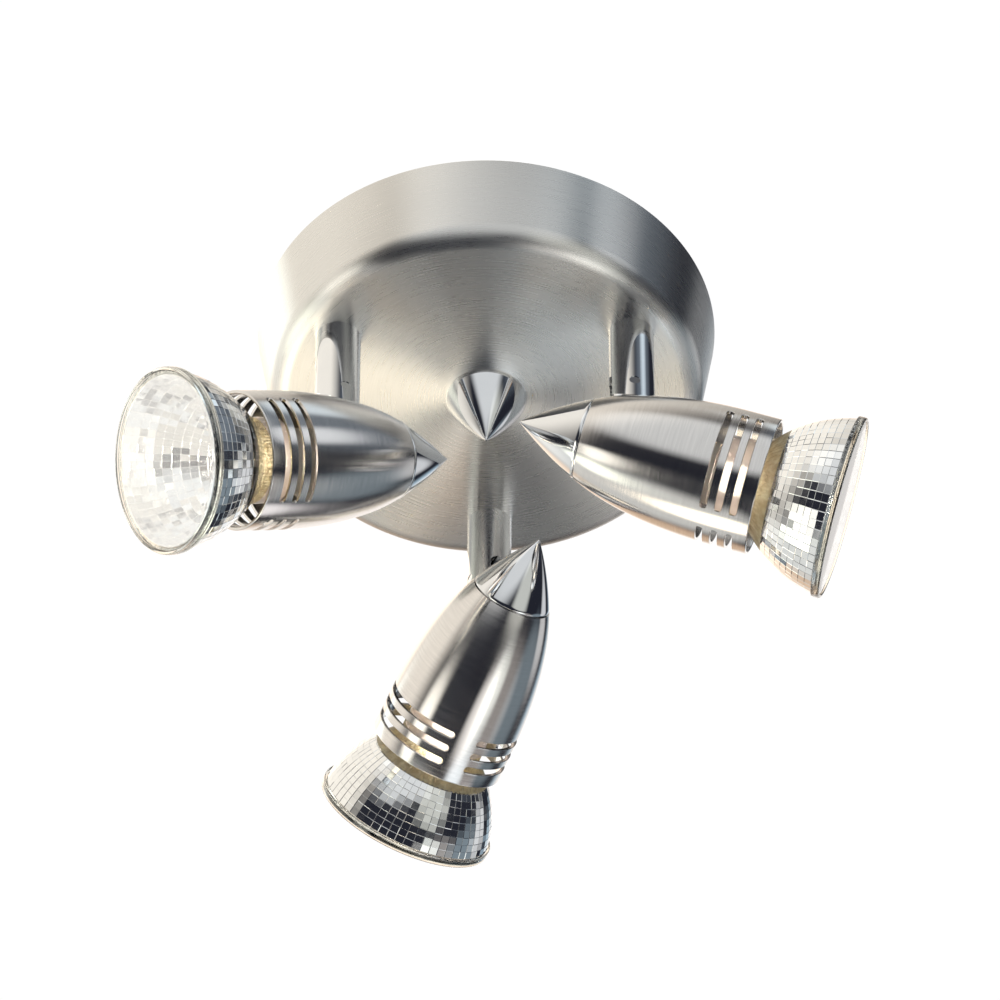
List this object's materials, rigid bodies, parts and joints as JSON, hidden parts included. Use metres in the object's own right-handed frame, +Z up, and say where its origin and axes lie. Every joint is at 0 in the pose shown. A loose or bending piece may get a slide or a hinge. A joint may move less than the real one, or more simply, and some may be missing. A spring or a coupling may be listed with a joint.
{
  "type": "ceiling spotlight fitting",
  "caption": "Round ceiling spotlight fitting with swivelling, tilting bullet heads on short arms, each holding a twist-lock reflector lamp.",
  "frame": {"origin": "centre of the plate's back, on the ceiling", "axes": "+Z up into the ceiling, +X along the ceiling bracket's strap, the fitting hangs on -Z"},
  "size_m": [0.2049, 0.1776, 0.1242],
  "materials": {
    "satin_steel": "satin brushed nickel plate",
    "chrome": "polished chrome plate",
    "zinc_steel": "zinc plated steel",
    "brass": "turned brass",
    "white_plastic": "moulded polyamide",
    "fibre": "pressed red fibre",
    "ceramic": "unglazed steatite",
    "reflector_glass": "pressed glass with mirror coating inside",
    "clear_glass": "clear pressed glass",
    "nickel": "nickel plated pins",
    "brown_lead": "silicone insulated lead",
    "blue_lead": "silicone insulated lead",
    "green_lead": "silicone insulated lead",
    "white_lead": "heat resistant lead"
  },
  "bodies": {
    "ceiling_unit": {"ceiling_plate": "satin_steel", "mounting_bracket": "zinc_steel", "centre_bolt": "zinc_steel", "centre_nut": "zinc_steel", "finial_cone": "chrome", "swivel_washers": "fibre", "terminal_block": "white_plastic", "terminal_inserts": "brass", "terminal_screws": "zinc_steel", "block_screw": "zinc_steel", "earth_tag": "brass", "earth_screw": "brass", "earth_lead": "green_lead", "live_leads": "brown_lead", "neutral_leads": "blue_lead"},
    "arm_left": {"arm_post_left": "chrome", "swivel_nut_left": "zinc_steel", "pivot_pin_left": "chrome"},
    "head_left": {"barrel_left": "satin_steel", "cone_cap_left": "chrome", "tilt_knuckle_left": "chrome", "knuckle_screw_left": "zinc_steel", "holder_bracket_left": "zinc_steel", "lampholder_left": "ceramic", "head_leads_left": "white_lead"},
    "lamp_left": {"lamp_reflector_left": "reflector_glass", "lamp_front_glass_left": "clear_glass", "lamp_base_left": "ceramic", "lamp_pins_left": "nickel", "lamp_capsule_left": "clear_glass"},
    "arm_right": {"arm_post_right": "chrome", "swivel_nut_right": "zinc_steel", "pivot_pin_right": "chrome"},
    "head_right": {"barrel_right": "satin_steel", "cone_cap_right": "chrome", "tilt_knuckle_right": "chrome", "knuckle_screw_right": "zinc_steel", "holder_bracket_right": "zinc_steel", "lampholder_right": "ceramic", "head_leads_right": "white_lead"},
    "lamp_right": {"lamp_reflector_right": "reflector_glass", "lamp_front_glass_right": "clear_glass", "lamp_base_right": "ceramic", "lamp_pins_right": "nickel", "lamp_capsule_right": "clear_glass"},
    "arm_far": {"arm_post_far": "chrome", "swivel_nut_far": "zinc_steel", "pivot_pin_far": "chrome"},
    "head_far": {"barrel_far": "satin_steel", "cone_cap_far": "chrome", "tilt_knuckle_far": "chrome", "knuckle_screw_far": "zinc_steel", "holder_bracket_far": "zinc_steel", "lampholder_far": "ceramic", "head_leads_far": "white_lead"},
    "lamp_far": {"lamp_reflector_far": "reflector_glass", "lamp_front_glass_far": "clear_glass", "lamp_base_far": "ceramic", "lamp_pins_far": "nickel", "lamp_capsule_far": "clear_glass"}
  },
  "joints": [
    {"name": "swivel_left", "type": "hinge", "parent": "ceiling_unit", "child": "arm_left", "pos_m": [-0.04044, -0.02335, -0.0275], "axis": [0, 0, 1], "range_deg": [-105.8, 114.2]},
    {"name": "tilt_left", "type": "hinge", "parent": "arm_left", "child": "head_left", "pos_m": [-0.04044, -0.02335, -0.0533], "axis": [0.4352, -0.9003, 0], "range_deg": [-25.4, 54.6]},
    {"name": "lamp_twist_left", "type": "hinge", "parent": "head_left", "child": "lamp_left", "pos_m": [-0.03195, -0.01924, -0.07317], "axis": [-0.8133, -0.3932, -0.4289], "range_deg": [0, 20]},
    {"name": "swivel_right", "type": "hinge", "parent": "ceiling_unit", "child": "arm_right", "pos_m": [0.04044, -0.02335, -0.0275], "axis": [0, 0, 1], "range_deg": [-147.6, 72.4]},
    {"name": "tilt_right", "type": "hinge", "parent": "arm_right", "child": "head_right", "pos_m": [0.04044, -0.02335, -0.0533], "axis": [-0.1323, 0.9912, 0], "range_deg": [-15.2, 64.8]},
    {"name": "lamp_twist_right", "type": "hinge", "parent": "head_right", "child": "lamp_right", "pos_m": [0.03473, -0.02411, -0.07453], "axis": [0.9565, 0.1276, -0.2622], "range_deg": [0, 20]},
    {"name": "swivel_far", "type": "hinge", "parent": "ceiling_unit", "child": "arm_far", "pos_m": [0, 0.0467, -0.0275], "axis": [0, 0, 1], "range_deg": [-136.7, 83.3]},
    {"name": "tilt_far", "type": "hinge", "parent": "arm_far", "child": "head_far", "pos_m": [0, 0.0467, -0.0533], "axis": [-0.8934, -0.4493, 0], "range_deg": [-18.9, 61.1]},
    {"name": "lamp_twist_far", "type": "hinge", "parent": "head_far", "child": "lamp_far", "pos_m": [0.0032, 0.04033, -0.07411], "axis": [-0.4251, 0.8452, -0.3239], "range_deg": [0, 20]}
  ]
}
